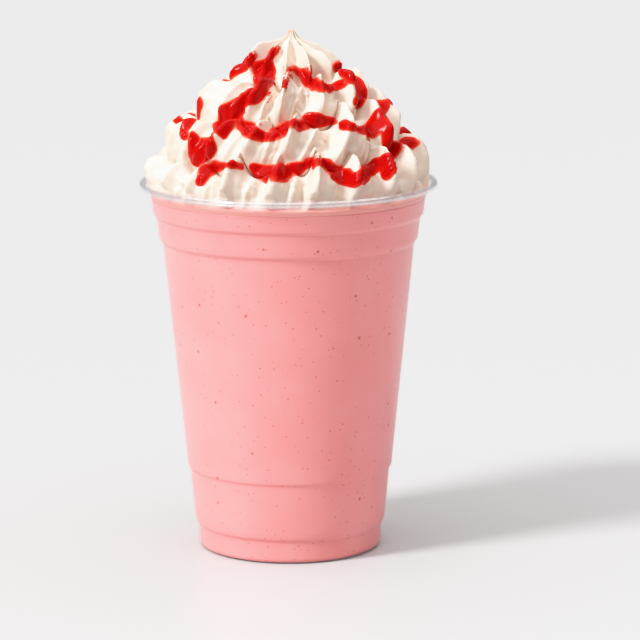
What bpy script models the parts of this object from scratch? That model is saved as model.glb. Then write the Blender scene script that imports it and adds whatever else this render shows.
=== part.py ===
# A clear plastic cup of milkshake, topped with a piped spiral of whipped cream and runs of thick
# fruit sauce. Metres, +Z up. The origin is the middle of the foot, on the surface it stands on.
# Angles go round anticlockwise seen from above, from 0 at the front, which is -Y.

import math

import bmesh
import bpy
import numpy as np

MM = 0.001
TURN = 2 * math.pi
GAP = 0.3 * MM  # between two pieces that touch

# Cup: the outer side as radius and height, from under the rolled lip down to the foot
CUP_STEPS = 48
WALL = 0.6 * MM
LIP_RADIUS = 1.3 * MM
LIP_MIDDLE = (47.7 * MM, 120.8 * MM)
LIP_POINTS = 8
OUTER_SIDE = (
    (45.9 * MM, 118.9 * MM),
    (45.2 * MM, 116.5 * MM),
    (44.8 * MM, 112.7 * MM),
    (43.6 * MM, 110.0 * MM),
    (42.9 * MM, 104.4 * MM),
    (41.6 * MM, 101.6 * MM),
    (34.3 * MM, 28.6 * MM),
    (33.4 * MM, 26.3 * MM),
    (31.9 * MM, 10.0 * MM),
    (30.6 * MM, 7.2 * MM),
    (30.5 * MM, 1.2 * MM),
    (29.6 * MM, 0.0),
)
UNDERSIDE = ((25.2 * MM, 0.0), (23.8 * MM, 2.5 * MM), (0.0, 2.5 * MM))

# Milkshake
DRINK_LEVEL = 116.5 * MM

# Whipped cream: the heap's outline as radius and height, with two points for each turn of rope
CREAM_BOTTOM = DRINK_LEVEL + GAP
HEAP = (
    (43.6 * MM, 117.6 * MM),
    (42.4 * MM, 124.5 * MM),
    (38.4 * MM, 131.4 * MM),
    (34.2 * MM, 138.0 * MM),
    (27.8 * MM, 144.2 * MM),
    (22.8 * MM, 150.0 * MM),
    (16.4 * MM, 156.2 * MM),
    (10.0 * MM, 163.8 * MM),
    (0.0, 171.4 * MM),
)
ROPE_TURNS = 3  # the turns of rope below the peak
ROPE_BULGE = 7.0 * MM
ROPE_SKEW = 1.35  # above 1, the rope is fullest above its middle
GROOVE_DEPTH = 4.0 * MM
RIDGE_HEIGHT = 5.8 * MM
RIDGE_LIFT = 6.0 * MM  # how far a ridge raises the rope's upper edge
RIDGE_HANG = 0.8 * MM  # how far it droops over the groove below
RIDGE_PEAK = 2.4 * MM  # how far it rises just under the upper edge
RIDGE_LEAN = (2.4, 2.4, 4.6, 3.6, 3.6)  # radians of ridge spacing across the rope, in each turn
LEAN_POWER = 0.5  # below 1, a ridge is steepest at its top
RIDGE_MEAN = 0.4
# The ridges that show in front: degrees along the rope where each meets its upper edge, and size
FRONT_RIDGES = (
    (-95, 0.5), (-74, 0.5), (-56, 0.7), (-41, 0.6), (-23, 1.1),
    (-3, 0.7), (14, 1.25), (32, 0.7), (49, 1.15), (67, 0.8),
    (265, 0.5), (290, 0.5), (310, 0.5), (327, 0.6), (347, 0.7), (366, 1.05), (401, 1.2), (430, 0.8),
    (620, 0.5), (650, 0.4), (678, 0.45), (700, 0.7), (721, 1.1), (753, 0.7), (784, 1.1),
)
ROPE_ENDS = (-560, 1310)  # degrees along the rope
RIDGE_STEPS = (21, 25, 30, 45)  # degrees between the other ridges, in each turn
LONGEST_STEP = 50
RIDGE_STRAY = 3  # degrees
SIZE_RANGE = (0.7, 1.2)
RIDGE_SEED = 5
PEAK_FLUTES = 12
FLUTE_DEPTH = 3.8 * MM
TIP_FLUTE_DEPTH = 0.9 * MM
FLUTE_SKIRT = 3.0 * MM
PEAK_RISE = 0.2  # turns of rope by which the peak starts higher on the left
CREST_ROUND = 0.06
CREAM_ROUND = 74
CREAM_UP = 35
CREAM_TWIST = 0.3  # radians a turn of rope, so that the grid runs along the ridges
UNDERSIDE_RINGS = 2

# The space inside the cup's mouth that the cream keeps to, as height and radius
MOUTH_HEIGHTS = (116.5 * MM, 118.9 * MM, 120.6 * MM, 122.4 * MM, 125.0 * MM)
MOUTH_RADII = (44.1 * MM, 44.8 * MM, 45.7 * MM, 45.9 * MM, 48.0 * MM)

# Sauce: each run as degrees round, turns of rope up, and half width in millimetres
SAUCE_SWELL = 1.3 * MM
SAUCE_SIDES = 2
SAUCE_STEPS = 2  # stations between two points of a run
SAUCE_RUNS = (
    # the peak's left patch, and the stream down the left of the front
    ((-56, 3.24, 1.8), (-62, 3.08, 2.1), (-64, 2.86, 1.6), (-66, 2.70, 0.9)),
    (
        (-20, 3.52, 1.0),
        (-30, 3.38, 2.2),
        (-34, 3.16, 3.3),
        (-30, 2.96, 3.2),
        (-24, 2.50, 2.6),
        (-34, 2.30, 2.4),
        (-43, 2.12, 2.9),
        (-43, 1.86, 2.8),
        (-34, 1.54, 1.4),
    ),
    ((-30, 3.00, 1.6), (-14, 2.96, 1.2), (-4, 2.80, 1.0)),
    # the top groove, and the drop beyond it
    ((0, 3.24, 1.3), (16, 3.12, 1.4), (26, 2.84, 2.0), (34, 2.72, 1.7), (46, 2.68, 1.1)),
    ((70, 2.96, 1.7), (72, 2.76, 2.2), (70, 2.56, 2.0), (66, 2.40, 2.6), (62, 2.30, 1.4)),
    # the middle groove, with the drop at its right end
    ((-36, 1.98, 1.4), (-23, 1.76, 2.3), (-12, 1.62, 2.0), (-1, 1.78, 1.9), (4, 1.82, 1.3)),
    (
        (6, 1.82, 2.0),
        (18, 2.02, 2.0),
        (30, 1.92, 1.4),
        (38, 1.70, 1.5),
        (54, 1.68, 2.6),
        (64, 1.80, 2.0),
    ),
    ((60, 1.60, 2.0), (64, 1.42, 2.3), (68, 1.26, 2.6), (63, 1.10, 1.6)),
    # the lowest groove
    ((-40, 0.58, 1.6), (-38, 0.78, 2.0), (-34, 0.98, 1.6), (-26, 1.06, 0.9)),
    ((-18, 1.04, 1.2), (-10, 0.88, 2.4), (-2, 0.84, 2.6), (6, 1.04, 2.0), (14, 1.08, 1.4)),
    ((13, 1.06, 1.4), (22, 0.84, 2.5), (29, 0.64, 2.3), (36, 0.76, 2.3), (44, 0.94, 1.6)),
    ((44, 0.96, 1.6), (48, 0.84, 2.6), (45, 0.64, 1.5)),
    # the left side
    ((-80, 2.14, 0.9), (-76, 1.96, 1.4), (-74, 1.66, 1.6), (-64, 1.50, 1.3)),
    ((-60, 1.48, 1.3), (-52, 1.28, 2.3), (-47, 1.16, 3.3), (-43, 1.38, 2.3), (-44, 1.58, 1.1)),
    # round the back, in the same grooves
    ((86, 2.14, 1.4), (104, 2.22, 2.2), (124, 2.26, 1.8), (148, 2.36, 2.4), (166, 2.42, 1.3)),
    ((150, 2.36, 1.8), (155, 2.10, 2.3), (157, 1.86, 2.6), (156, 1.70, 1.4)),
    ((74, 1.10, 1.3), (92, 1.18, 2.3), (116, 1.26, 1.9), (138, 1.30, 2.5), (160, 1.42, 1.4)),
    ((198, 1.50, 1.3), (214, 1.54, 2.2), (236, 1.62, 2.5), (258, 1.66, 1.8), (276, 1.74, 1.2)),
    ((206, 2.56, 1.2), (222, 2.60, 2.2), (240, 2.64, 1.9), (256, 2.70, 1.2)),
    ((228, 1.60, 1.8), (226, 1.36, 2.2), (224, 1.12, 2.6), (225, 0.96, 1.4)),
)


def ease(low, high, x):
    """0 below low, 1 above high, and a smooth step between."""
    share = np.clip((x - low) / (high - low), 0.0, 1.0)
    return share * share * (3 - 2 * share)


def through(points, x):
    """A smooth curve through the points, at x, which is 0 at the first and counts them."""
    points = np.asarray(points, float)
    before = 2 * points[0] - points[1]
    after = 2 * points[-1] - points[-2]
    knots = np.vstack([before, points, after])
    x = np.clip(x, 0, len(points) - 1 - 1e-9)
    first = np.floor(x).astype(int)
    f = (x - first)[..., None]
    a, b, c, d = (knots[first + k] for k in range(4))
    return 0.5 * (
        2 * b + (c - a) * f + (2 * a - 5 * b + 4 * c - d) * f**2 + (3 * b - a - 3 * c + d) * f**3
    )


def outline_at(height):
    """The heap's outline and its unit tangent, at a height counted in turns of rope."""
    step = 1e-3
    last = len(HEAP) - 1
    here = 2 * height
    ahead = through(HEAP, np.clip(here + step, 0, last))
    behind = through(HEAP, np.clip(here - step, 0, last))
    along = ahead - behind
    return through(HEAP, here), along / np.linalg.norm(along, axis=-1, keepdims=True)


def all_ridges():
    """The front ridges, with unevenly spaced ones over the longer gaps between and beyond them."""
    rng = np.random.default_rng(RIDGE_SEED)
    known = [(ROPE_ENDS[0], 1.0), *FRONT_RIDGES, (ROPE_ENDS[1], 1.0)]
    made = []
    for (angle, size), (after, _) in zip(known, known[1:]):
        made.append((angle, size))
        step = np.interp((angle + after) / 720, np.arange(len(RIDGE_STEPS)), RIDGE_STEPS)
        count = round((after - angle) / step) if after - angle > LONGEST_STEP else 1
        for k in range(1, count):
            place = angle + (after - angle) * k / count + rng.uniform(-RIDGE_STRAY, RIDGE_STRAY)
            made.append((place, rng.uniform(*SIZE_RANGE)))
    return np.array([*made, known[-1]], float).T


RIDGE_ANGLES, RIDGE_SIZES = all_ridges()


def ridge_phase(rope, across):
    """A whole turn for each ridge, from where it meets the rope's upper edge; they lean below it."""
    ridges = np.interp(np.degrees(rope), RIDGE_ANGLES, np.arange(len(RIDGE_ANGLES)))
    lean = np.interp(rope / TURN, np.arange(len(RIDGE_LEAN)) - 1, RIDGE_LEAN)
    return TURN * ridges + lean * (1 - across**LEAN_POWER)


def ridge_size(rope):
    """Each ridge's size beside the usual one."""
    return np.interp(np.degrees(rope), RIDGE_ANGLES, RIDGE_SIZES)


def crest(phase):
    """A sharp ridge at each whole turn of the phase, with a round hollow between."""
    skewed = phase + 0.25 * np.sin(phase + 0.6)
    return 1 - np.sqrt(np.sin(skewed / 2) ** 2 + CREST_ROUND**2) - RIDGE_MEAN


def rope_offsets(rope, across, ridges):
    """How far the rope stands out, and how far its surface is raised, across its width."""
    across = np.clip(across, 0, 1)
    skewed = across**ROPE_SKEW
    bulge = (2 * np.sqrt(skewed * (1 - skewed))) ** 0.8
    middle = crest(ridge_phase(rope, across)) * ridge_size(rope)
    upper = crest(ridge_phase(rope, 1.0)) * ridge_size(rope)
    lower = crest(ridge_phase(rope - TURN, 1.0)) * ridge_size(rope - TURN)
    near_top = ease(0.78, 1.0, across)
    near_bottom = 1 - ease(0.0, 0.3, across)
    ridge = ease(0.0, 0.45, across) * (1 - near_top) * middle
    edge = 0.5 * (near_top * upper + near_bottom * lower)
    out = ROPE_BULGE * bulge - GROOVE_DEPTH + ridges * RIDGE_HEIGHT * (ridge + edge)
    wave = ease(0.45, 1.0, across) * upper + (1 - ease(0.0, 0.5, across)) * lower
    hang = ease(0.02, 0.2, across) * (1 - ease(0.2, 0.5, across)) * middle
    peaks = ease(0.55, 0.8, across) * (1 - ease(0.8, 0.98, across)) * middle
    return out, ridges * (RIDGE_LIFT * wave - RIDGE_HANG * hang + RIDGE_PEAK * peaks)


def peak_offsets(angle, share, ridges):
    """The same for the fluted peak, where share goes from 0 at its foot to 1 at its tip."""
    twist = 1.9 * share + 0.5 * np.sin(2 * angle + 1) + 0.4
    size = 1 + 0.35 * np.sin(3 * angle + 2) + 0.25 * np.sin(5 * angle)
    flute = crest(PEAK_FLUTES * angle + twist) * size
    depth = FLUTE_DEPTH * ease(-0.1, 0.25, share) * (1 - ease(0.6, 1.0, share)) + TIP_FLUTE_DEPTH
    foot = -2.6 * MM * (1 - ease(0.0, 0.3, share))
    dome = 0.6 * MM * np.sin(math.pi * share**0.7) - 0.8 * MM
    tip = 1.8 * MM * ease(0.85, 1.0, share)
    skirt = -FLUTE_SKIRT * (1 - ease(0.05, 0.5, share)) * flute
    return foot + dome + tip + ridges * depth * flute, ridges * skirt


def cream_point(angle, height, ridges=1.0):
    """A point of the cream, from its angle and its height counted in turns of rope."""
    angle, height = np.broadcast_arrays(angle, height)
    outline, along = outline_at(height)
    climb = height - angle / TURN
    turn = np.floor(climb)
    out, up = rope_offsets(angle + TURN * turn, climb - turn, ridges)
    peak_out, peak_up = peak_offsets(angle, np.clip(height - ROPE_TURNS, 0, 1), ridges)
    rise = ROPE_TURNS + PEAK_RISE * (1 - np.sin(angle)) / 2
    peak = ease(rise - 0.25, rise + 0.15, height)
    start = ease(0.0, 0.22, height)
    out = start * ((1 - peak) * out + peak * peak_out)
    up = start * ((1 - peak) * up + peak * peak_up)
    radius = outline[..., 0] + along[..., 1] * out + along[..., 0] * up
    z = outline[..., 1] - along[..., 0] * out + along[..., 1] * up
    radius = np.clip(radius, 0, np.interp(z, MOUTH_HEIGHTS, MOUTH_RADII, right=1.0))
    off_middle = 1.2 * MM * ease(2.6, 3.6, height)
    return np.stack([radius * np.sin(angle) + off_middle, -radius * np.cos(angle), z], -1)


def offset(points, distance):
    """The outline moved towards the cup's inside, with each corner kept sharp."""
    points = np.asarray(points, float)
    along = np.diff(points, axis=0)
    along /= np.linalg.norm(along, axis=1, keepdims=True)
    inward = np.stack([along[:, 1], -along[:, 0]], 1)
    before = np.vstack([inward[:1], inward])
    after = np.vstack([inward, inward[-1:]])
    mitre = (before + after) / (1 + np.sum(before * after, axis=1, keepdims=True))
    moved = points + distance * mitre
    moved[-1, 0] = 0.0
    return moved


def make_material(name, colour, roughness, transmission=0.0):
    material = bpy.data.materials.new(name)
    material.use_nodes = True
    shader = material.node_tree.nodes["Principled BSDF"]
    shader.inputs["Base Color"].default_value = (*colour, 1.0)
    shader.inputs["Roughness"].default_value = roughness
    shader.inputs["Transmission Weight"].default_value = transmission
    return material


def turned(name, profile, material, collection):
    """A closed solid turned from a profile that ends on the axis at both ends."""
    mesh = bpy.data.meshes.new(name)
    points = [(radius, 0.0, z) for radius, z in profile]
    mesh.from_pydata(points, [(i, i + 1) for i in range(len(points) - 1)], [])
    mesh.materials.append(material)
    obj = bpy.data.objects.new(name, mesh)
    collection.objects.link(obj)
    screw = obj.modifiers.new("turn", "SCREW")
    screw.steps = CUP_STEPS
    screw.render_steps = CUP_STEPS
    screw.use_merge_vertices = True
    screw.merge_threshold = 0.00005
    screw.use_smooth_shade = True
    return obj


def make_cup(collection):
    side = offset(OUTER_SIDE + UNDERSIDE, WALL)[::-1]
    turns = np.linspace(math.pi, -0.75 * math.pi, LIP_POINTS)
    lip = np.stack([np.cos(turns), np.sin(turns)], 1) * LIP_RADIUS + LIP_MIDDLE
    profile = np.vstack([side, lip, OUTER_SIDE, UNDERSIDE])
    clear = make_material("clear_plastic", (0.93, 0.93, 0.94), 0.1, transmission=1.0)
    return turned("cup", profile, clear, collection)


def make_milkshake(collection):
    side = offset(OUTER_SIDE + UNDERSIDE, WALL + GAP)
    level = np.interp(DRINK_LEVEL, side[1::-1, 1], side[1::-1, 0])
    profile = [(0.0, DRINK_LEVEL), (level, DRINK_LEVEL), *side[side[:, 1] < DRINK_LEVEL]]
    pink = make_material("strawberry_shake", (0.83, 0.33, 0.34), 0.35)
    return turned("milkshake", profile, pink, collection)


def make_cream(collection):
    """A sphere's grid moved onto the cream, with its lowest rings as the flat underside."""
    bm = bmesh.new()
    bmesh.ops.create_uvsphere(bm, u_segments=CREAM_ROUND, v_segments=CREAM_UP, radius=1.0)
    sphere = np.array([vertex.co for vertex in bm.verts])
    angle = np.arctan2(sphere[:, 0], -sphere[:, 1])
    ring = np.arccos(np.clip(-sphere[:, 2], -1, 1)) / math.pi * CREAM_UP
    height = (ROPE_TURNS + 1) * (ring - UNDERSIDE_RINGS) / (CREAM_UP - UNDERSIDE_RINGS)
    height = np.clip(height, 0, ROPE_TURNS + 1 - 1e-6)
    points = cream_point(angle + CREAM_TWIST * height, height)
    under = ring < UNDERSIDE_RINGS - 0.5
    radius = HEAP[0][0] * ring[under] / UNDERSIDE_RINGS
    points[under, 0] = radius * np.sin(angle[under])
    points[under, 1] = -radius * np.cos(angle[under])
    points[under, 2] = CREAM_BOTTOM
    mesh = bpy.data.meshes.new("whipped_cream")
    bm.to_mesh(mesh)
    bm.free()
    mesh.vertices.foreach_set("co", points.astype(np.float32).ravel())
    mesh.materials.append(make_material("whipped_cream", (0.94, 0.91, 0.85), 0.55))
    obj = bpy.data.objects.new("whipped_cream", mesh)
    collection.objects.link(obj)
    return obj


def make_sauce_run(index, run, material, collection):
    """A tube whose upper part stands out of the cream by the swell, over the run's own width."""
    stations = np.linspace(0, len(run) - 1, SAUCE_STEPS * (len(run) - 1) + 1)
    angle, height, half = through(run, stations).T
    angle = np.radians(angle)
    half = half * MM
    radius = (half**2 + SAUCE_SWELL**2) / (2 * SAUCE_SWELL)
    radius = np.where(half < SAUCE_SWELL, half, radius)
    sunk = np.maximum(radius - SAUCE_SWELL, 0.3 * half)
    tangent = outline_at(height)[1]
    out = np.stack(
        [tangent[:, 1] * np.sin(angle), -tangent[:, 1] * np.cos(angle), -tangent[:, 0]], 1
    )
    middle = cream_point(angle, height, ridges=0.35) - out * sunk[:, None]
    curve = bpy.data.curves.new(f"sauce_path_{index}", "CURVE")
    curve.dimensions = "3D"
    curve.bevel_depth = 1.0
    curve.bevel_resolution = SAUCE_SIDES
    curve.use_fill_caps = True
    spline = curve.splines.new("POLY")
    spline.points.add(len(middle) - 1)
    for point, place, size in zip(spline.points, middle, radius):
        point.co = (*place, 1.0)
        point.radius = size
    guide = bpy.data.objects.new(f"sauce_path_{index}", curve)
    collection.objects.link(guide)
    bpy.context.view_layer.update()
    evaluated = guide.evaluated_get(bpy.context.evaluated_depsgraph_get())
    mesh = bpy.data.meshes.new_from_object(evaluated)
    bpy.data.objects.remove(guide)
    bm = bmesh.new()
    bm.from_mesh(mesh)
    bmesh.ops.remove_doubles(bm, verts=bm.verts, dist=0.02 * MM)
    bmesh.ops.recalc_face_normals(bm, faces=bm.faces)
    bm.to_mesh(mesh)
    bm.free()
    mesh.materials.clear()
    mesh.materials.append(material)
    collection.objects.link(bpy.data.objects.new(f"sauce_{index}", mesh))


def keep_largest_shell(mesh):
    """Drops the loose scraps, and the walls of the hollows that the union sealed."""
    bm = bmesh.new()
    bm.from_mesh(mesh)
    unseen = set(bm.faces)
    shells = []
    while unseen:
        shell = [unseen.pop()]
        for face in shell:
            around = {other for edge in face.edges for other in edge.link_faces} & unseen
            unseen -= around
            shell.extend(around)
        shells.append(shell)
    shells.sort(key=len)
    for shell in shells[:-1]:
        bmesh.ops.delete(bm, geom=shell, context="FACES")
    bm.to_mesh(mesh)
    bm.free()


def fuse(obj, toppings):
    """One union of the object with everything in the toppings' collection, then applied."""
    union = obj.modifiers.new("fuse", "BOOLEAN")
    union.operation = "UNION"
    union.operand_type = "COLLECTION"
    union.collection = toppings
    union.solver = "MANIFOLD"
    bpy.context.view_layer.update()
    evaluated = obj.evaluated_get(bpy.context.evaluated_depsgraph_get())
    fused = bpy.data.meshes.new_from_object(evaluated)
    obj.modifiers.remove(union)
    obj.data = fused
    fused.name = obj.name
    keep_largest_shell(fused)
    fused.shade_smooth()
    for topping in list(toppings.objects):
        bpy.data.objects.remove(topping)
    bpy.data.collections.remove(toppings)


def main():
    for obj in list(bpy.data.objects):
        bpy.data.objects.remove(obj)
    parts = bpy.data.collections.new("milkshake_cup")
    toppings = bpy.data.collections.new("sauce")
    bpy.context.scene.collection.children.link(parts)
    bpy.context.scene.collection.children.link(toppings)
    make_cup(parts)
    make_milkshake(parts)
    cream = make_cream(parts)
    sauce = make_material("strawberry_sauce", (0.72, 0.02, 0.01), 0.2)
    for index, run in enumerate(SAUCE_RUNS):
        make_sauce_run(index, run, sauce, toppings)
    fuse(cream, toppings)


main()
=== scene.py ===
import math
import bpy
import numpy as np
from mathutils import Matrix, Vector


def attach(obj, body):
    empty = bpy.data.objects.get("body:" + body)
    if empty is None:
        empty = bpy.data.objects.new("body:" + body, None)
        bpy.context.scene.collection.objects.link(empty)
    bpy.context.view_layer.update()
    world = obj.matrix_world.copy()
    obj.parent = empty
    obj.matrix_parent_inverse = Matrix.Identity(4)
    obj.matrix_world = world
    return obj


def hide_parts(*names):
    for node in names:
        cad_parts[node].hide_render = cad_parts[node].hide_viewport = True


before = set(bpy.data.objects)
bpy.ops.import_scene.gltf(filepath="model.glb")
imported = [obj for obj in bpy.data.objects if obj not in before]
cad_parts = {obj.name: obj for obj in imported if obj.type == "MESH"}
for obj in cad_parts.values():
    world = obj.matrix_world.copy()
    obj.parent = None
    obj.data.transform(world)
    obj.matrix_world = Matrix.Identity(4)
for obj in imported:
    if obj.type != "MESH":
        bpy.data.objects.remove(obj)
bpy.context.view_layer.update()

mm = 0.001
turn = 2 * math.pi
print("frame loaded")


# Curves and noise
def ease(low, high, x):
    # 0 below low, 1 above high, and the cubic 3s^2 - 2s^3 between
    share = np.clip((x - low) / (high - low), 0.0, 1.0)
    return share * share * (3 - 2 * share)


def through(points, x):
    # the uniform cubic through evenly counted points, x being 0 at the first
    points = np.asarray(points, float)
    knots = np.vstack([2 * points[0] - points[1], points, 2 * points[-1] - points[-2]])
    x = np.clip(x, 0, len(points) - 1 - 1e-9)
    first = np.floor(x).astype(int)
    f = (x - first)[..., None]
    a, b, c, d = (knots[first + k] for k in range(4))
    cubic = (2 * a - 5 * b + 4 * c - d) * f**2 + (3 * b - a - 3 * c + d) * f**3
    return 0.5 * (2 * b + (c - a) * f + cubic)


def lumps(points, size, seed, count=26):
    # smooth solid noise: the scaled sum of plane sine waves of about this size, run in seeded directions
    rng = np.random.default_rng(seed)
    ways = rng.normal(size=(count, 3))
    ways *= (turn / size / np.linalg.norm(ways, axis=1) * rng.uniform(0.7, 1.4, count))[:, None]
    starts = rng.uniform(0, turn, count)
    total = np.zeros(points.shape[:-1])
    for way, start in zip(ways, starts):
        total += np.sin(points @ way + start)
    return total / math.sqrt(count / 2)


class Wire:
    # one output socket of a shader node; sums and products on it add Math nodes to its tree
    def __init__(self, tree, socket=None):
        self.tree = tree
        self.socket = socket

    def make(self, kind, settings=None, inputs=None, out=0):
        # any node: its settings first, then the values or wires of its sockets
        node = self.tree.nodes.new(kind)
        for name, value in (settings or {}).items():
            if name == "stops":
                fillRamp(node.color_ramp, value)
            else:
                setattr(node, name, value)
        for name, value in (inputs or {}).items():
            if isinstance(value, Wire):
                self.tree.links.new(value.socket, node.inputs[name])
            else:
                node.inputs[name].default_value = value
        return Wire(self.tree, node.outputs[out] if len(node.outputs) else None)

    def maths(self, operation, *values):
        # a Math node on these values or wires
        return self.make("ShaderNodeMath", {"operation": operation}, dict(enumerate(values)))

    def __add__(self, other):
        return self.maths("ADD", self, other)

    def __sub__(self, other):
        return self.maths("SUBTRACT", self, other)

    def __rsub__(self, other):
        return self.maths("SUBTRACT", other, self)

    def __mul__(self, other):
        return self.maths("MULTIPLY", self, other)

    def __truediv__(self, other):
        return self.maths("DIVIDE", self, other)

    def __pow__(self, other):
        return self.maths("POWER", self, other)

    __radd__ = __add__
    __rmul__ = __mul__

    def between(self, low, high):
        # 0 at low, 1 at high, smooth between; low may be the larger
        inputs = {0: self, 1: low, 2: high, 3: 0.0, 4: 1.0}
        settings = {"interpolation_type": "SMOOTHSTEP", "clamp": True}
        return self.make("ShaderNodeMapRange", settings, inputs)

    def blend(self, first, second):
        # first where this is 0 and second where it is 1, as colours
        return self.make("ShaderNodeMix", {"data_type": "RGBA"}, {0: self, 6: first, 7: second}, out=2)


def fillRamp(ramp, stops):
    # one stop for each place and shade
    while len(ramp.elements) < len(stops):
        ramp.elements.new(0.5)
    for element, (place, shade) in zip(ramp.elements, stops):
        element.position = place
        element.color = shade


def colour(r, g, b):
    # these channels, with an alpha of 1
    return (r, g, b, 1.0)


def newFinish(name):
    # an empty material, and the wire that makes its nodes
    material = bpy.data.materials.new(name)
    material.use_nodes = True
    material.node_tree.nodes.clear()
    return material, Wire(material.node_tree)


def closeFinish(start, shader):
    # the shader, joined to the material's output
    start.make("ShaderNodeOutputMaterial", None, {"Surface": shader})


# Camera, lights and floor
cameraView = {
    "distance": 1143 * mm,  # from the cup's axis, measured along the floor
    "height": 293.2 * mm,
    "pitch": 10.80,  # degrees down
    "yaw": 0.546,  # degrees to the right of the cup's axis
    "roll": 0.2,
    "lens": 198.8,  # millimetres, as is the sensor's width
    "sensor": 36.0,
    "seesTo": 50.0,
}
studio = {
    "keyAzimuth": 58.0,  # degrees left of the camera
    "keyElevation": 40.0,
    "keyStrength": 4.6,
    "keySpread": 13.0,
    "topAzimuth": 20.0,
    "topElevation": 88.0,
    "topStrength": 4.0,
    "topSpread": 90.0,
    "worldStrength": 0.2,
    "floorWidth": 12.0,
    "floorColour": (0.49, 0.484, 0.486),
    "floorRoughness": 0.4,
}


def makeCamera(view):
    # a long lens in front of the cup, turned right by the yaw, down by the pitch and over by the roll
    lens = bpy.data.cameras.new("photoCamera")
    lens.sensor_width = view["sensor"]
    lens.lens = view["lens"]
    lens.clip_end = view["seesTo"]
    camera = bpy.data.objects.new("photoCamera", lens)
    bpy.context.scene.collection.objects.link(camera)
    camera.location = (0.0, -view["distance"], view["height"])
    pitch, yaw, roll = (math.radians(view[name]) for name in ("pitch", "yaw", "roll"))
    camera.rotation_euler = (turn / 4 - pitch, roll, -yaw)
    bpy.context.scene.camera = camera


def makeSun(name, azimuth, elevation, strength, spread):
    # a far lamp that many degrees left of the camera and above the floor, shining at the cup
    lamp = bpy.data.lights.new(name, "SUN")
    lamp.energy = strength
    lamp.angle = math.radians(spread)
    sun = bpy.data.objects.new(name, lamp)
    bpy.context.scene.collection.objects.link(sun)
    side, up = math.radians(azimuth), math.radians(elevation)
    source = Vector((-math.sin(side) * math.cos(up), -math.cos(side) * math.cos(up), math.sin(up)))
    sun.rotation_euler = source.to_track_quat("Z", "Y").to_euler()


def makeStudio(light):
    # the key and the top lamp, a little white light from all round, and a square floor
    makeSun("keyLight", light["keyAzimuth"], light["keyElevation"], light["keyStrength"], light["keySpread"])
    makeSun("topLight", light["topAzimuth"], light["topElevation"], light["topStrength"], light["topSpread"])
    world = bpy.data.worlds.new("studio")
    bpy.context.scene.world = world
    world.use_nodes = True
    world.node_tree.nodes["Background"].inputs["Color"].default_value = colour(1.0, 1.0, 1.0)
    world.node_tree.nodes["Background"].inputs["Strength"].default_value = light["worldStrength"]
    half = light["floorWidth"] / 2
    mesh = bpy.data.meshes.new("floor")
    corners = [(-half, -half, 0), (half, -half, 0), (half, half, 0), (-half, half, 0)]
    mesh.from_pydata(corners, [], [(0, 1, 2, 3)])
    floor = bpy.data.objects.new("floor", mesh)
    bpy.context.scene.collection.objects.link(floor)
    material, start = newFinish("paleFloor")
    inputs = {"Base Color": colour(*light["floorColour"]), "Roughness": light["floorRoughness"]}
    closeFinish(start, start.make("ShaderNodeBsdfPrincipled", None, inputs))
    mesh.materials.append(material)


# how bright light is shown: straight up to 0.5, then a soft shoulder
shoulder = (
    (0.0, 0.0),
    (0.5, 0.5),
    (0.8, 0.735),
    (1.0, 0.85),
    (1.25, 0.94),
    (1.6, 0.98),
    (2.4, 0.992),
    (4.0, 1.0),
)


def makeToneCurve(points):
    # the view's curve through the points, its right end being the last one's brightness
    settings = bpy.context.scene.view_settings
    settings.view_transform = "Standard"
    settings.look = "None"
    settings.use_curve_mapping = True
    mapping = settings.curve_mapping
    most = points[-1][0]
    mapping.white_level = (most, most, most)
    curve = mapping.curves[3]
    while len(curve.points) < len(points):
        curve.points.new(0.5, 0.5)
    for point, (x, y) in zip(curve.points, points):
        point.location = (x / most, y)
        point.handle_type = "AUTO_CLAMPED"
    mapping.update()


makeCamera(cameraView)
makeStudio(studio)
makeToneCurve(shoulder)
print("camera and studio made")


# Meshes from grids
def putMesh(name, points, faces, material):
    # the points and the four-cornered or three-cornered faces, as one smooth object
    mesh = bpy.data.meshes.new(name)
    mesh.from_pydata(points.tolist(), [], faces)
    mesh.materials.append(material)
    mesh.shade_smooth()
    piece = bpy.data.objects.new(name, mesh)
    bpy.context.scene.collection.objects.link(piece)
    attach(piece, "root")
    return piece


def numbered(rows, columns):
    # the points of a grid whose columns run round, counted row by row: each one, the one beside it,
    # and the four of every cell
    index = np.arange(rows * columns).reshape(rows, columns)
    beside = np.roll(index, -1, 1)
    return index, beside, np.stack([index[:-1], beside[:-1], beside[1:], index[1:]], -1).reshape(-1, 4)


def closedGrid(name, grid, lowPole, highPole, material):
    # rows of points that run round, low to high, joined to a point below and a point above
    rows, columns = grid.shape[:2]
    index, beside, quads = numbered(rows, columns)
    low = rows * columns
    lowFan = np.stack([beside[0], index[0], np.full(columns, low)], -1)
    highFan = np.stack([index[-1], beside[-1], np.full(columns, low + 1)], -1)
    points = np.vstack([grid.reshape(-1, 3), [lowPole], [highPole]])
    return putMesh(name, points, quads.tolist() + lowFan.tolist() + highFan.tolist(), material)


def turnedGrid(name, profile, segments, material):
    # radius and height pairs, each end on the axis, carried round it; the outer side runs upwards
    angle = np.arange(segments) / segments * turn
    body = profile[1:-1]
    ring = np.stack([np.sin(angle), -np.cos(angle)], -1)
    grid = np.empty((len(body), segments, 3))
    grid[..., :2] = body[:, None, :1] * ring[None]
    grid[..., 2] = body[:, None, 1]
    ends = [(0.0, 0.0, profile[k][1]) for k in (0, -1)]
    return closedGrid(name, grid, ends[0], ends[1], material)


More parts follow.
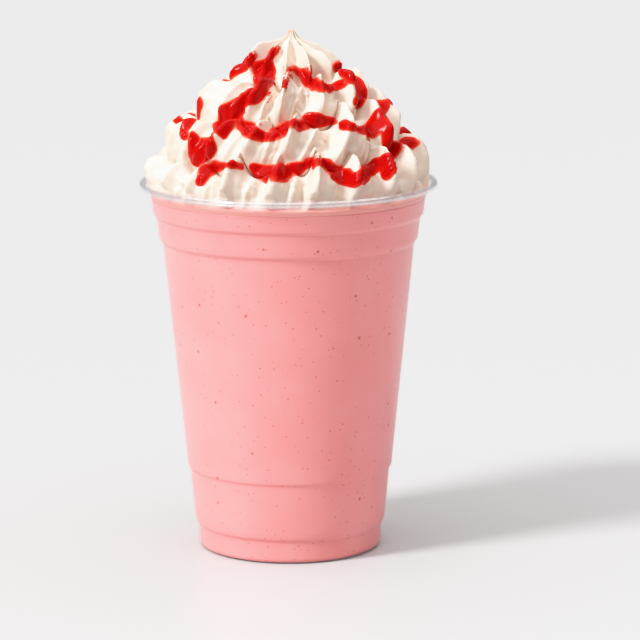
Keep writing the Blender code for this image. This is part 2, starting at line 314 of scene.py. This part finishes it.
# The cup
cupShape = {
    "wall": 0.6 * mm,
    # the middle of the wall as radius and height, from the middle of the base up to the lip,
    # with the radius of each corner
    "path": (
        (0.0, 2.8, 0.0),
        (23.95, 2.8, 0.8),
        (25.1, 0.3, 0.8),
        (29.5, 0.3, 0.7),
        (30.2, 1.3, 1.0),
        (30.3, 7.25, 0.3),
        (31.2, 8.3, 0.4),
        (31.6, 10.1, 0.5),
        (33.1, 26.35, 0.3),
        (33.8, 27.3, 0.4),
        (34.0, 28.7, 0.5),
        (41.3, 101.7, 0.3),
        (42.3, 102.9, 0.4),
        (42.6, 104.5, 0.5),
        (43.3, 110.1, 0.3),
        (44.2, 111.2, 0.4),
        (44.5, 112.8, 0.5),
        (44.9, 116.5, 2.0),
        (45.9, 119.4, 1.0),
    ),
    "lipMiddle": (47.7, 120.8),
    "lipRadius": 1.0,
    "lipFrom": 188.0,  # degrees
    "lipTo": -150.0,
    "lipPoints": 30,
    "thinBy": 0.35,  # how much thinner the curl is than the wall
    "thinOver": (-4, 10),  # points of the path, counted from the start of the curl
    "endRound": 0.8,  # how far the end of the curl stands out, in half thicknesses
    "segments": 256,
    "clear": (0.985, 0.98, 0.985),
    "gloss": (0.93, 0.92, 0.93),
    "roughness": 0.07,
    "metallic": 0.85,
    "glossAhead": 0.016,  # share of gloss where the wall faces the eye
    "glossAside": 0.32,  # what is added where it is turned away
    "glossPower": 4.0,
    "lipHeights": (119.2 * mm, 120.4 * mm),  # the lip's own gloss comes in between them
    "lipAhead": 0.08,
    "lipAside": 0.16,
    "haze": 0.02,
    "hazeScale": 60.0,
}


def filleted(corners, steps=6, spacing=3.0, most=0.45):
    # the path through the corners with a round arc at each, as a quadratic blend between its ends;
    # an arc takes up no more than that share of the sides beside it
    corners = np.asarray(corners, float)
    places, radii = corners[:, :2], corners[:, 2]
    made = [places[:1]]
    for k in range(1, len(places) - 1):
        back = places[k - 1] - places[k]
        ahead = places[k + 1] - places[k]
        reach = min(radii[k], most * np.linalg.norm(back), most * np.linalg.norm(ahead))
        start = places[k] + back / np.linalg.norm(back) * reach
        end = places[k] + ahead / np.linalg.norm(ahead) * reach
        s = np.linspace(0, 1, steps)[:, None]
        arc = start * (1 - s) ** 2 + places[k] * 2 * s * (1 - s) + end * s**2
        run = made[-1][-1]
        count = max(1, int(np.linalg.norm(start - run) / spacing))
        straight = run + (start - run) * (np.arange(1, count) / count)[:, None]
        made += [straight, arc]
    return np.vstack(made + [places[-1:]])


def wallPath(shape):
    # the wall's middle line, in metres, with the curl of the lip as an arc at its end
    side = filleted(shape["path"])
    around = np.radians(np.linspace(shape["lipFrom"], shape["lipTo"], shape["lipPoints"]))
    curl = np.stack([np.cos(around), np.sin(around)], -1) * shape["lipRadius"] + shape["lipMiddle"]
    return np.vstack([side, curl]) * mm


def normalsOf(path):
    # unit normals on the left of the path's direction, from the points before and after each
    along = np.gradient(path, axis=0)
    along /= np.linalg.norm(along, axis=1, keepdims=True)
    return np.stack([-along[:, 1], along[:, 0]], -1)


def cupProfile(shape):
    # the closed section of the wall: up the outer side, round the end of the curl, down the inner side
    path = wallPath(shape)
    normal = normalsOf(path)
    low, high = (len(path) - shape["lipPoints"] + k for k in shape["thinOver"])
    thick = shape["wall"] / 2 * (1 - shape["thinBy"] * ease(low, high, np.arange(len(path))))
    outer = path - normal * thick[:, None]
    inner = path + normal * thick[:, None]
    last = path[-1] - path[-2]
    tip = path[-1] + last / np.linalg.norm(last) * thick[-1] * shape["endRound"]
    profile = np.vstack([outer, tip, inner[::-1]])
    profile[0, 0] = 0.0
    profile[-1, 0] = 0.0
    return profile


def clearPlasticFinish(shape):
    # mostly see-through, with more gloss on the lip and as a power of how far the wall turns from the eye
    material, start = newFinish("clearPlastic")
    facing = start.make("ShaderNodeLayerWeight", None, {"Blend": 0.5}, out=1)
    coords = start.make("ShaderNodeTexCoord", out=3)
    haze = start.make(
        "ShaderNodeTexNoise",
        None,
        {"Vector": coords, "Scale": shape["hazeScale"], "Detail": 3.0},
    )
    height = start.make("ShaderNodeSeparateXYZ", None, {"Vector": coords}, out=2)
    wall = shape["glossAhead"] + facing ** shape["glossPower"] * shape["glossAside"]
    lip = height.between(*shape["lipHeights"]) * (shape["lipAhead"] + facing * shape["lipAside"])
    share = wall + lip + (haze - 0.5) * shape["haze"]
    clear = start.make("ShaderNodeBsdfTransparent", None, {"Color": colour(*shape["clear"])})
    gloss = start.make(
        "ShaderNodeBsdfPrincipled",
        None,
        {
            "Base Color": colour(*shape["gloss"]),
            "Roughness": shape["roughness"],
            "Metallic": shape["metallic"],
        },
    )
    closeFinish(start, start.make("ShaderNodeMixShader", None, {0: share, 1: clear, 2: gloss}))
    return material


cup = turnedGrid("cupWall", cupProfile(cupShape), cupShape["segments"], clearPlasticFinish(cupShape))
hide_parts("cup")
print("cup made")


# The milkshake
shake = {
    "level": 116.6 * mm,
    "intoWall": 0.1 * mm,
    "brimDown": 0.3 * mm,  # the side stops this far under the level
    "brimOut": 0.1 * mm,  # and the level starts this far outside the side's end
    "levelPoints": 6,
    "segments": 192,
    "pink": (0.92, 0.245, 0.237),
    "pale": (0.93, 0.27, 0.26),
    "cloudScale": 55.0,
    "fleck": (0.50, 0.075, 0.055),
    "fleckDepth": 0.9,
    "fleckCell": 2.2 * mm,
    # cell beside fleckCell, size of the fleck in its cell, and share of the cells that have one
    "fleckLayers": ((1.0, 0.10, 0.85), (1.7, 0.065, 0.9), (2.6, 0.085, 0.65)),
    "grainScale": 900.0,
    "grainStrength": 0.08,
    "grainDepth": 0.1 * mm,
    "roughness": 0.4,
}


def shakeProfile(shape):
    # the inner face of the wall pushed a little into it, cut off level at the top
    path = wallPath(cupShape)[: -cupShape["lipPoints"]]
    side = path + normalsOf(path) * (cupShape["wall"] / 2 - shape["intoWall"])
    side = side[side[:, 1] < shape["level"] - shape["brimDown"]]
    radii = np.linspace(side[-1, 0] + shape["brimOut"], 0.0, shape["levelPoints"])
    inward = np.stack([radii, np.full(len(radii), shape["level"])], -1)
    side[0, 0] = 0.0
    return np.vstack([side, inward])


def shakeFinish(shape):
    # pink with soft paler clouds, and a dark red fleck round the middle of some cells of each layer
    material, start = newFinish("strawberryShake")
    coords = start.make("ShaderNodeTexCoord", out=3)
    clouds = start.make(
        "ShaderNodeTexNoise",
        None,
        {"Vector": coords, "Scale": shape["cloudScale"], "Detail": 4.0},
    )
    base = clouds.between(0.35, 0.7).blend(colour(*shape["pink"]), colour(*shape["pale"]))
    for cell, size, share in shape["fleckLayers"]:
        inputs = {"Vector": coords, "Scale": 1 / (shape["fleckCell"] * cell)}
        near = start.make("ShaderNodeTexVoronoi", None, inputs, out=0)
        pick = start.make("ShaderNodeTexVoronoi", None, inputs, out=1)
        chosen = start.make("ShaderNodeSeparateColor", None, {"Color": pick}, out=0)
        spot = near.between(size * 1.5, size * 0.6) * chosen.between(1 - share, 1 - share + 0.25)
        base = (spot * shape["fleckDepth"]).blend(base, colour(*shape["fleck"]))
    grain = start.make(
        "ShaderNodeTexNoise",
        None,
        {"Vector": coords, "Scale": shape["grainScale"], "Detail": 2.0},
    )
    bump = start.make(
        "ShaderNodeBump",
        None,
        {"Strength": shape["grainStrength"], "Distance": shape["grainDepth"], "Height": grain},
    )
    shader = start.make(
        "ShaderNodeBsdfPrincipled",
        None,
        {"Base Color": base, "Roughness": shape["roughness"], "Normal": bump},
    )
    closeFinish(start, shader)
    return material


drink = turnedGrid("shakeBody", shakeProfile(shake), shake["segments"], shakeFinish(shake))
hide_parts("milkshake")
print("milkshake made")


# The whipped cream, worked out in millimetres
heap = {
    # radius and height of the heap's outline, two points for each turn of rope
    "outline": (
        (43.9, 116.6),
        (42.4, 124.5),
        (38.4, 131.4),
        (34.2, 138.0),
        (27.8, 144.2),
        (22.8, 150.0),
        (16.4, 156.2),
        (9.0, 163.6),
        (0.0, 170.4),
    ),
    "turns": 3,
    "lastRow": 0.997,  # how far up the peak the last row of points is
    "bulge": 7.0,
    "bulgePower": 0.8,
    "groove": 4.0,
    "skew": 1.35,
    "ridge": 5.8,
    "edgeRidge": 0.5,  # share of a ridge that stays at the rope's edges
    "second": 0.5,
    "secondStart": 1.3,
    "fold": 0.75,
    "lift": 6.0,
    "hang": 0.8,
    "peaks": 2.4,
    # where across the rope, 0 at its foot and 1 at its top, each of these comes in or fades
    "nearTop": (0.78, 1.0),
    "nearBottom": (0.0, 0.3),
    "ridgeOver": (0.0, 0.45),
    "foldOver": (0.0, 0.35),
    "liftTop": (0.45, 1.0),
    "liftBottom": (0.0, 0.5),
    "hangIn": (0.02, 0.2),
    "hangOut": (0.2, 0.5),
    "peaksIn": (0.55, 0.8),
    "peaksOut": (0.8, 0.98),
    "lean": (2.4, 2.4, 4.6, 3.6, 3.6),
    "leanPower": 0.5,
    # the ridges that show in front: degrees along the rope where each peaks at its upper edge, and size
    "frontRidges": (
        (-95, 0.5), (-74, 0.5), (-56, 0.7), (-41, 0.6), (-23, 1.1),
        (-3, 0.7), (14, 1.25), (32, 0.7), (49, 1.15), (67, 0.8),
        (265, 0.5), (290, 0.5), (310, 0.5), (327, 0.6), (347, 0.7), (366, 1.05), (401, 1.2), (430, 0.8),
        (620, 0.5), (650, 0.4), (678, 0.45), (700, 0.7), (721, 1.1), (753, 0.7), (784, 1.1),
    ),
    "ridgeEnds": (-560, 1310),
    "ridgeStep": (21, 25, 30, 45),  # degrees between the others, in each turn of rope
    "longGap": 50,  # degrees past which the others fill a gap between front ridges
    "ridgeStray": 3,  # degrees
    "ridgeSizes": (0.7, 1.2),
    "ridgeSeed": 5,
    "ridgeMean": 0.4,
    "crestRound": 0.035,
    "crestSkew": 0.25,
    "flutes": 12,
    "fluteDepth": 4.6,
    "fluteTwist": 1.9,
    "fluteSway": 0.5,
    "fluteUneven": (0.32, 0.22),
    "tipFlute": 0.8,
    "dome": 0.6,
    "domePower": 0.7,
    "peakIn": 0.8,
    "footIn": 2.6,
    "tipOut": 1.4,
    "skirt": 3.0,
    "peakOver": (-0.25, 0.15),  # turns of rope over which the rope becomes the peak
    "peakRise": 0.2,  # turns of rope by which the peak starts higher on the left
    "startOver": (0.0, 0.22),
    "tipAside": 1.2,
    "asideOver": (2.6, 3.6),
    "tipUp": 0.15,
    "lumps": ((0.45, 13.0, 21), (0.16, 4.2, 22)),  # height, width and seed, coarse and fine
    "lumpRidges": 0.35,  # how deep the ridges are on the surface that places them
    "lumpsIn": (0.0, 0.25),
    "lumpsOut": (3.75, 3.99),
    "twist": 0.3,
    "columns": 440,
    "rows": 226,
    "mouthHeights": (116.5, 119.4, 120.6, 122.4, 125.0),
    "mouthRadii": (44.7, 45.7, 46.0, 46.0, 48.0),
    "filled": (118.0, 119.2),  # it meets the wall below the first height, and stands free above the second
    "widest": 50.0,  # what it would meet above the mouth
    "white": (0.73, 0.58, 0.48),
    "shaded": (0.70, 0.54, 0.43),
    "cloudScale": 120.0,
    "stain": (0.91, 0.31, 0.27),
    "stainHeights": (118.6, 120.0),
    "halo": 0.3,
    "haloWidth": 1.0,
    "foamScale": 1400.0,
    "foamStrength": 0.12,
    "foamDepth": 0.12 * mm,
    "roughness": 0.5,
    "glow": 0.15,  # share of the light that comes back from under the surface
    "glowColours": (1.0, 0.62, 0.4),
    "glowReach": 0.6 * mm,
}


def outlineAt(height):
    # the outline and its unit tangent at a height counted in turns of rope
    step = 1e-3
    last = len(heap["outline"]) - 1
    ahead = through(heap["outline"], np.clip(2 * height + step, 0, last))
    behind = through(heap["outline"], np.clip(2 * height - step, 0, last))
    along = ahead - behind
    return through(heap["outline"], 2 * height), along / np.linalg.norm(along, axis=-1, keepdims=True)


def allRidges(shape):
    # the front ridges, and unevenly spaced ones over the longer gaps between them and beyond
    rng = np.random.default_rng(shape["ridgeSeed"])
    first, last = shape["ridgeEnds"]
    known = [(first, 1.0), *shape["frontRidges"], (last, 1.0)]
    made = []
    for (angle, size), (after, _) in zip(known, known[1:]):
        made.append((angle, size))
        step = np.interp((angle + after) / 2 / 360, np.arange(4), shape["ridgeStep"])
        count = round((after - angle) / step) if after - angle > shape["longGap"] else 1
        for k in range(1, count):
            stray = rng.uniform(-shape["ridgeStray"], shape["ridgeStray"])
            place = angle + (after - angle) * k / count + stray
            made.append((place, rng.uniform(*shape["ridgeSizes"])))
    return np.array([*made, (last, 1.0)], float).T


peakAngles, peakSizes = allRidges(heap)


def ridgesAlong(rope):
    # how many ridges peak at the upper edge between the first one and this angle along the rope
    return np.interp(np.degrees(rope), peakAngles, np.arange(len(peakAngles)))


def ridgeSize(rope):
    # each ridge's size beside the usual one
    return np.interp(np.degrees(rope), peakAngles, peakSizes)


def crest(phase):
    # one less the size of the half-angle's sine, its point rounded a little: sharp ridges, round hollows
    skewed = phase + heap["crestSkew"] * np.sin(phase + 0.6)
    return 1 - np.sqrt(np.sin(skewed / 2) ** 2 + heap["crestRound"] ** 2) - heap["ridgeMean"]


def leaning(rope, across):
    # the phase of the ridges across the rope: steep at its top and nearly along it at its foot
    lean = np.interp(rope / turn, np.arange(len(heap["lean"])) - 1, heap["lean"])
    return turn * ridgesAlong(rope) + lean * (1 - np.clip(across, 0, 1) ** heap["leanPower"])


def ropeOffsets(rope, across, ridges):
    # how far the rope stands out, and how far its surface is raised, across its width: a half circle's
    # bulge less the groove, with the ridges and folds on it, its edges following the ridges there
    skewed = np.clip(across, 0, 1) ** heap["skew"]
    bulge = (2 * np.sqrt(skewed * (1 - skewed))) ** heap["bulgePower"]
    phase = leaning(rope, across)
    middle = crest(phase) + heap["second"] * crest(2 * phase + heap["secondStart"])
    middle = middle * ridgeSize(rope)
    upper = crest(leaning(rope, 1.0)) * ridgeSize(rope)
    lower = crest(leaning(rope - turn, 1.0)) * ridgeSize(rope - turn)
    nearTop = ease(*heap["nearTop"], across)
    nearBottom = 1 - ease(*heap["nearBottom"], across)
    ridge = ease(*heap["ridgeOver"], across) * (1 - nearTop) * middle
    edge = heap["edgeRidge"] * (nearTop * upper + nearBottom * lower)
    sway = 1.6 * np.sin(0.9 * rope + 1) + 2.2 * across + 0.8 * np.sin(2.3 * rope + 3 * across)
    folds = heap["fold"] * crest(3 * phase + sway) * (1 + 0.6 * np.sin(1.9 * rope + 4 * across))
    folds = folds * ease(*heap["foldOver"], across) * (1 - nearTop)
    out = heap["bulge"] * bulge - heap["groove"] + ridges * (heap["ridge"] * (ridge + edge) + folds)
    wave = ease(*heap["liftTop"], across) * upper + (1 - ease(*heap["liftBottom"], across)) * lower
    hang = ease(*heap["hangIn"], across) * (1 - ease(*heap["hangOut"], across)) * middle
    peaks = ease(*heap["peaksIn"], across) * (1 - ease(*heap["peaksOut"], across)) * middle
    up = heap["lift"] * wave - heap["hang"] * hang + heap["peaks"] * peaks
    return out, ridges * up


def peakOffsets(angle, share, ridges):
    # the same for the fluted peak, share being 0 at its foot and 1 at its tip: a low dome, with twisted
    # flutes of uneven size that fade upwards and reach down over the rope
    sway = heap["fluteSway"] * np.sin(2 * angle + 1)
    flute = crest(heap["flutes"] * angle + heap["fluteTwist"] * share + sway + 0.4)
    some, others = heap["fluteUneven"]
    flute = flute * (1 + some * np.sin(3 * angle + 5.5) + others * np.sin(5 * angle))
    depth = heap["fluteDepth"] * ease(-0.1, 0.25, share) * (1 - ease(0.42, 0.92, share)) + heap["tipFlute"]
    dome = heap["dome"] * np.sin(math.pi * share ** heap["domePower"])
    dome = dome - heap["footIn"] * (1 - ease(0.0, 0.3, share)) - heap["peakIn"]
    tip = heap["tipOut"] * ease(0.85, 1.0, share)
    skirt = -heap["skirt"] * (1 - ease(0.05, 0.5, share)) * flute
    return dome + tip + ridges * depth * flute, ridges * skirt


def creamOffsets(angle, height, ridges):
    # how far the surface stands out of the outline and how far it is raised along it: the rope, which
    # climbs one turn's height each time round, blended into the peak
    climb = height - angle / turn
    whole = np.floor(climb)
    out, up = ropeOffsets(angle + turn * whole, climb - whole, ridges)
    peakOut, peakUp = peakOffsets(angle, np.clip(height - heap["turns"], 0, 1), ridges)
    rise = heap["turns"] + heap["peakRise"] * (1 - np.sin(angle)) / 2
    low, high = heap["peakOver"]
    peak = ease(rise + low, rise + high, height)
    start = ease(*heap["startOver"], height)
    return start * ((1 - peak) * out + peak * peakOut), start * ((1 - peak) * up + peak * peakUp)


def placeOn(angle, height, out, up):
    # the outline's point moved out along its normal and up along its tangent, kept inside the mouth of
    # the cup, then carried round the axis
    outline, along = outlineAt(height)
    radius = outline[..., 0] + along[..., 1] * out + along[..., 0] * up
    z = outline[..., 1] - along[..., 0] * out + along[..., 1] * up
    mouth = np.interp(z, heap["mouthHeights"], heap["mouthRadii"], right=math.inf)
    filling = 1 - ease(*heap["filled"], z)
    radius = np.clip(radius + filling * (np.minimum(mouth, heap["widest"]) - radius), 0, mouth)
    aside = heap["tipAside"] * ease(*heap["asideOver"], height)
    return np.stack([radius * np.sin(angle) + aside, -radius * np.cos(angle), z], -1)


def creamSurface(columns, rows):
    # the grid's angles and heights, and how far the cream stands out and is raised there
    heights = np.linspace(0.0, heap["turns"] + heap["lastRow"], rows)[:, None]
    angles = np.arange(columns) / columns * turn - math.pi + heap["twist"] * heights
    heights = np.broadcast_to(heights, angles.shape)
    out, up = creamOffsets(angles, heights, 1.0)
    places = placeOn(angles, heights, *creamOffsets(angles, heights, heap["lumpRidges"]))
    settled = ease(*heap["lumpsIn"], heights) * (1 - ease(*heap["lumpsOut"], heights))
    (coarse, *coarseKind), (fine, *fineKind) = heap["lumps"]
    out = out + settled * (coarse * lumps(places, *coarseKind) + fine * lumps(places, *fineKind))
    return angles, heights, out, up


# The sauce, worked out in millimetres
sauce = {
    "swell": 0.5,
    "edge": 1.3,
    "fill": -0.9,  # how far below the outline it fills the grooves to
    "fillOver": 1.4,
    "slope": 0.9,  # how fast it goes down outside its edge
    "sink": 0.6,
    "merge": 0.7,
    "sheetDepth": 1.3,
    "kept": 0.36,  # share of its triangles kept
    "pitch": 10.8,  # degrees the runs are looked down on
    "inward": 0.25,  # how little distance away from the viewer counts
    "reach": 0.8,  # how near the cream's points are looked for round a point of a run
    "steps": 6,  # between two points of a run
    "far": 99.0,
    "uneven": 0.3,
    "unevenWidth": 7.0,
    "unevenSeed": 31,
    "wider": 0.15,
    "streaks": 0.5,
    "streakScale": 260.0,
    # depth and colour, from the thin edge to the thickest middle
    "shades": (
        (0.0, (0.80, 0.16, 0.10)),
        (0.22, (0.62, 0.022, 0.010)),
        (0.6, (0.50, 0.004, 0.002)),
        (1.0, (0.36, 0.0015, 0.001)),
    ),
    "roughness": 0.15,
    "shine": 0.06,
}
# runs of sauce as they look from the side that many degrees round: millimetres across and up, half width
sauceRuns = (
    # the patch left of the peak
    (0, ((-13, 158.5, 2.2), (-15, 156.5, 2.4), (-17.5, 154.5, 1.8), (-18.5, 153, 0.9))),
    # the stream down the left
    (0, (
        (-4.5, 160.5, 1.1), (-6.5, 157.5, 2.2), (-8, 154.5, 3.7), (-8, 150.5, 3.7), (-11, 145.5, 2.9),
        (-15, 143, 2.6), (-19, 140, 3.3), (-21, 135.5, 3.3), (-20.5, 132.5, 1.5),
    )),
    # the top groove's left end
    (0, ((-7, 150, 1.8), (-2, 149.5, 1.3), (-1, 148.5, 1.1))),
    # the middle groove
    (0, (
        (-16.5, 137.5, 1.5), (-12.5, 134.5, 2.6), (-10, 133, 2.2), (-5, 132.5, 2.2), (-1, 134.5, 2.2),
        (2, 136, 1.5),
    )),
    (0, (
        (3.5, 136, 2.2), (8, 137.5, 2.2), (13.5, 137.5, 1.5), (18.5, 135.5, 1.5), (23.5, 134.5, 1.8),
        (27, 135, 2.9), (29.5, 139, 2.9), (31.5, 143, 1.5),
    )),
    # the drop at its right end
    (0, ((31, 136.5, 2.2), (32.5, 132.5, 2.6), (34, 129.5, 2.9), (34, 127.5, 1.8))),
    # the top groove and the drop beyond it
    (0, (
        (1, 154.5, 1.5), (4.5, 153, 1.5), (8, 149.5, 2.2), (11, 148.5, 1.8), (15, 148.5, 1.8),
        (17.5, 150, 1.1),
    )),
    (0, ((16.5, 155.5, 1.8), (19.5, 153.5, 2.6), (22.5, 150, 2.2), (23, 146, 2.9), (22, 143.5, 1.5))),
    # the left side
    (0, ((-29, 147, 0.6), (-29, 142.5, 1.5), (-32, 138.5, 1.8), (-33.5, 134, 1.5))),
    (0, (
        (-31, 133.5, 1.1), (-30, 129.5, 2.2), (-28.5, 127, 3.7), (-25.5, 130.5, 2.6), (-24.5, 134, 1.1),
    )),
    # the lowest groove
    (0, ((-27.5, 118, 1.8), (-26, 121, 2.2), (-22, 123, 1.8), (-18, 123, 1.3), (-16.5, 123, 0.7))),
    (0, ((-15, 123, 1.0), (-14.5, 123, 1.0))),
    (0, (
        (-11.5, 122.5, 1.3), (-9, 121, 2.2), (-6.5, 120, 2.9), (-1.5, 120.5, 2.9), (4, 122.5, 2.2),
        (9, 124, 1.5), (12, 123, 1.8), (17, 119.5, 2.9), (21.5, 118.5, 2.6), (25, 121, 2.6),
        (28, 123.5, 1.8),
    )),
    (0, ((30, 122.5, 1.8), (32, 123.5, 2.9), (31, 120, 1.8))),
    # round the back
    (126, ((-17.5, 139, 1.4), (-9.5, 139.5, 2.2), (-1, 141.5, 1.8), (9, 142.5, 2.4), (15, 142, 1.3))),
    (154, ((-1.5, 142.5, 1.8), (0.5, 139, 2.3), (1.5, 135.5, 2.6), (1, 132.5, 1.4))),
    (116, ((-26, 125, 1.3), (-15.5, 125, 2.3), (0, 126, 1.9), (13.5, 126.5, 2.5), (24, 128.5, 1.4))),
    (236, ((-21, 132, 1.3), (-12.5, 129.5, 2.2), (0, 130, 2.5), (12, 131.5, 1.8), (20, 133, 1.2))),
    (231, ((-8.5, 144.5, 1.2), (-3.5, 143, 2.2), (3, 144.5, 1.9), (8, 145.5, 1.2))),
    (226, ((1, 129.5, 1.8), (0, 127.5, 2.2), (-1.5, 124.5, 2.6), (-0.5, 122, 1.4))),
)


def seenFrom(degrees):
    # the directions across, up and away, for someone that many degrees round who looks down a little
    side, pitch = math.radians(degrees), math.radians(sauce["pitch"])
    ahead = np.array([-math.sin(side), math.cos(side)])
    across = (math.cos(side), math.sin(side), 0.0)
    up = (*(ahead * math.sin(pitch)), math.cos(pitch))
    away = (*(ahead * math.cos(pitch)), -math.sin(pitch))
    return np.array([across, up, away])


def doubled(grid):
    # the grid with a point added halfway along every edge and in every cell; columns run round
    grid = np.stack([grid, (grid + np.roll(grid, -1, 1)) / 2], 2)
    grid = grid.reshape(grid.shape[0], -1, *grid.shape[3:])
    between = np.concatenate([(grid[:-1] + grid[1:]) / 2, grid[-1:]])
    return np.stack([grid, between], 1).reshape(-1, *grid.shape[1:])[:-1]


def gridNormals(grid):
    # unit normals of a grid whose columns run round and whose rows go up
    across = np.roll(grid, -1, 1) - np.roll(grid, 1, 1)
    normal = np.cross(across, np.gradient(grid, axis=0))
    return normal / np.linalg.norm(normal, axis=-1, keepdims=True)


def sauceDistance(places):
    # how far each place lies outside the nearest run's edge, in millimetres: the least distance to the
    # smooth line through its points less its half width there; runs that meet are blended
    field = np.full(places.shape[:-1], sauce["far"])
    uneven = sauce["uneven"] * lumps(places, sauce["unevenWidth"], sauce["unevenSeed"]) + sauce["wider"]
    for degrees, run in sauceRuns:
        seen = places @ seenFrom(degrees).T
        points = []
        for across, up, half in run:
            beside = abs(seen[..., 0] - across) < sauce["reach"]
            beside &= abs(seen[..., 1] - up) < sauce["reach"]
            points.append((across, up, seen[beside, 2].min(), half))
        stations = np.linspace(0, len(run) - 1, sauce["steps"] * (len(run) - 1) + 1)
        near = np.full(places.shape[:-1], sauce["far"])
        for across, up, away, half in through(points, stations):
            gap = seen - (across, up, away)
            gap[..., 2] *= sauce["inward"]
            near = np.minimum(near, np.sqrt((gap**2).sum(-1)) - half)
        share = np.clip(0.5 + 0.5 * (near - field) / sauce["merge"], 0, 1)
        field = near + (field - near) * share - sauce["merge"] * share * (1 - share)
    return field - uneven


def addAttribute(piece, name, values):
    # one number for each point, for the materials to read
    layer = piece.data.attributes.new(name, "FLOAT", "POINT")
    layer.data.foreach_set("value", values.astype(np.float32))


def creamFinish(look):
    # warm white, pinker where it meets the drink and beside the sauce, with a faint foam grain
    material, start = newFinish("whippedCream")
    coords = start.make("ShaderNodeTexCoord", out=3)
    stain = start.make("ShaderNodeAttribute", {"attribute_name": "stain"}, out=2)
    clouds = start.make(
        "ShaderNodeTexNoise",
        None,
        {"Vector": coords, "Scale": look["cloudScale"], "Detail": 3.0},
    )
    white = clouds.between(0.3, 0.7).blend(colour(*look["white"]), colour(*look["shaded"]))
    base = stain.blend(white, colour(*look["stain"]))
    foam = start.make(
        "ShaderNodeTexNoise",
        None,
        {"Vector": coords, "Scale": look["foamScale"], "Detail": 3.0},
    )
    bump = start.make(
        "ShaderNodeBump",
        None,
        {"Strength": look["foamStrength"], "Distance": look["foamDepth"], "Height": foam},
    )
    shader = start.make(
        "ShaderNodeBsdfPrincipled",
        None,
        {
            "Base Color": base,
            "Roughness": look["roughness"],
            "Subsurface Weight": look["glow"],
            "Subsurface Radius": look["glowColours"],
            "Subsurface Scale": look["glowReach"],
            "Normal": bump,
        },
    )
    closeFinish(start, shader)
    return material


angles, heights, out, up = creamSurface(heap["columns"], heap["rows"])
creamGrid = placeOn(angles, heights, out, up)
filledGrid = placeOn(angles, heights, np.maximum(out, sauce["fill"]), up)
sauceGrid = doubled(creamGrid)
wetness = sauceDistance(sauceGrid)
print("cream and sauce worked out")


def makeCream():
    # the cream's grid closed by a flat underside and its tip, stained at the brim and beside the sauce
    wet = wetness[::2, ::2]
    brim = 1 - ease(*heap["stainHeights"], creamGrid[..., 2])
    halo = heap["halo"] * (1 - ease(0.0, heap["haloWidth"], wet))
    stain = np.clip(brim + halo, 0, 1)
    grid = np.vstack([creamGrid[:1] * (0.5, 0.5, 1.0), creamGrid])
    low = np.array((0.0, 0.0, grid[0, 0, 2]))
    tip = np.array((heap["tipAside"], 0.0, grid[-1, :, 2].mean() + heap["tipUp"]))
    piece = closedGrid("creamSwirl", grid * mm, low * mm, tip * mm, creamFinish(heap))
    addAttribute(piece, "stain", np.concatenate([stain[0], stain.ravel(), [1.0, 0.0]]))
    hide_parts("whipped_cream")


def sauceFinish(look):
    # wet red, paler and more orange where the sheet thins at its edges
    material, start = newFinish("strawberrySauce")
    coords = start.make("ShaderNodeTexCoord", out=3)
    depth = start.make("ShaderNodeAttribute", {"attribute_name": "depth"}, out=2)
    streaks = start.make(
        "ShaderNodeTexNoise",
        None,
        {"Vector": coords, "Scale": look["streakScale"], "Detail": 3.0},
    )
    tone = depth + (streaks - 0.5) * look["streaks"]
    stops = [(place, colour(*shade)) for place, shade in look["shades"]]
    base = start.make("ShaderNodeValToRGB", {"stops": stops}, {"Fac": tone})
    shader = start.make(
        "ShaderNodeBsdfPrincipled",
        None,
        {"Base Color": base, "Roughness": look["roughness"], "Specular IOR Level": look["shine"]},
    )
    closeFinish(start, shader)
    return material


def makeSauce():
    # the cream's own surface, its grooves filled, raised into a dome inside the runs and sunk outside
    inside = np.clip(-wetness / sauce["edge"], 0, 1)
    dome = sauce["swell"] * np.sqrt(1 - (1 - inside) ** 2)
    rise = np.where(wetness < 0, dome, np.maximum(-sauce["slope"] * wetness, -sauce["sink"]))
    normal = gridNormals(sauceGrid)
    share = ease(0.0, sauce["fillOver"], -wetness)[..., None]
    upper = sauceGrid + share * (doubled(filledGrid) - sauceGrid) + normal * rise[..., None]
    lower = sauceGrid - normal * sauce["sheetDepth"]
    quads = numbered(*wetness.shape)[2]
    quads = quads[wetness.ravel()[quads].min(axis=1) < sauce["sink"] / sauce["slope"]]
    edges = np.concatenate([quads[:, [k, (k + 1) % 4]] for k in range(4)])
    inverse, count = np.unique(np.sort(edges, axis=1), axis=0, return_inverse=True, return_counts=True)[1:]
    rim = edges[count[inverse.ravel()] == 1]
    under = wetness.size
    walls = np.stack([rim[:, 1], rim[:, 0], rim[:, 0] + under, rim[:, 1] + under], -1)
    faces = np.vstack([quads, quads[:, ::-1] + under, walls])
    used, faces = np.unique(faces, return_inverse=True)
    points = np.concatenate([upper.reshape(-1, 3), lower.reshape(-1, 3)])[used] * mm
    piece = putMesh("sauceRuns", points, faces.reshape(-1, 4).tolist(), sauceFinish(sauce))
    addAttribute(piece, "depth", np.tile(inside.ravel(), 2)[used])
    thin = piece.modifiers.new("thin", "DECIMATE")
    thin.ratio = sauce["kept"]
    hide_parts("whipped_cream")
    print("sauce faces", len(faces) // 4)


makeCream()
makeSauce()
print("cream and sauce made")
